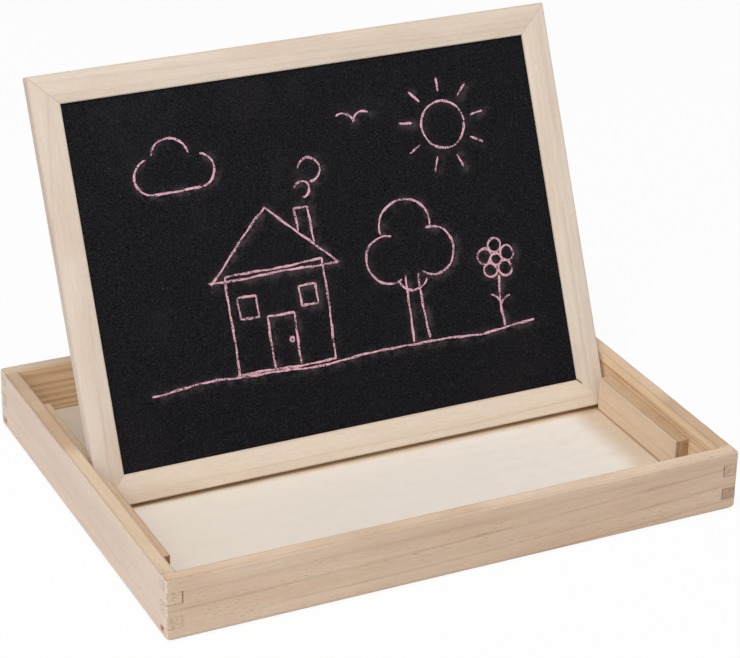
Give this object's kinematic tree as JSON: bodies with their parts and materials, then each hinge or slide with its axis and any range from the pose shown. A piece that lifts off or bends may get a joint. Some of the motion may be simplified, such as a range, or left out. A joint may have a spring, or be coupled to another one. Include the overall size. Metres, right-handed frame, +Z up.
{
  "type": "magnetic drawing board with storage tray",
  "caption": "Framed two-sided magnetic board, black chalk face and white back, leaning in the slotted rails of a shallow finger-jointed wooden tray that it also closes as a lid.",
  "frame": {"origin": "middle of the tray's underside, on the surface that it stands on", "axes": "+X along the tray's front wall to the right, +Y from the front wall to the back wall, +Z up"},
  "size_m": [0.32, 0.244, 0.2133],
  "materials": {
    "pine": "bare planed pine, satin",
    "pale_pine": "pale planed pine, satin",
    "plywood": "bare birch plywood",
    "chalk_black": "matt black chalkboard coating on steel",
    "fibreboard": "bare hardboard",
    "gloss_white": "glossy white dry-wipe coating on steel",
    "nail_steel": "plain steel strip"
  },
  "bodies": {
    "tray": {"front_wall": "pine", "back_wall": "pine", "left_wall": "pine", "right_wall": "pine", "base_panel": "plywood", "rail_front_left": "pine", "rail_front_right": "pine", "rail_back_left": "pine", "rail_back_right": "pine"},
    "board": {"frame_top_rail": "pale_pine", "frame_bottom_rail": "pale_pine", "frame_left_stile": "pale_pine", "frame_right_stile": "pale_pine", "chalk_sheet": "chalk_black", "core_board": "fibreboard", "white_sheet": "gloss_white", "v_nail_top_left": "nail_steel", "v_nail_top_right": "nail_steel", "v_nail_bottom_left": "nail_steel", "v_nail_bottom_right": "nail_steel"}
  },
  "joints": [
    {"name": "board_lift", "type": "slide", "parent": "tray", "child": "board", "axis": [0, 0.4149, 0.9098], "range_m": [0, 0.05]}
  ]
}
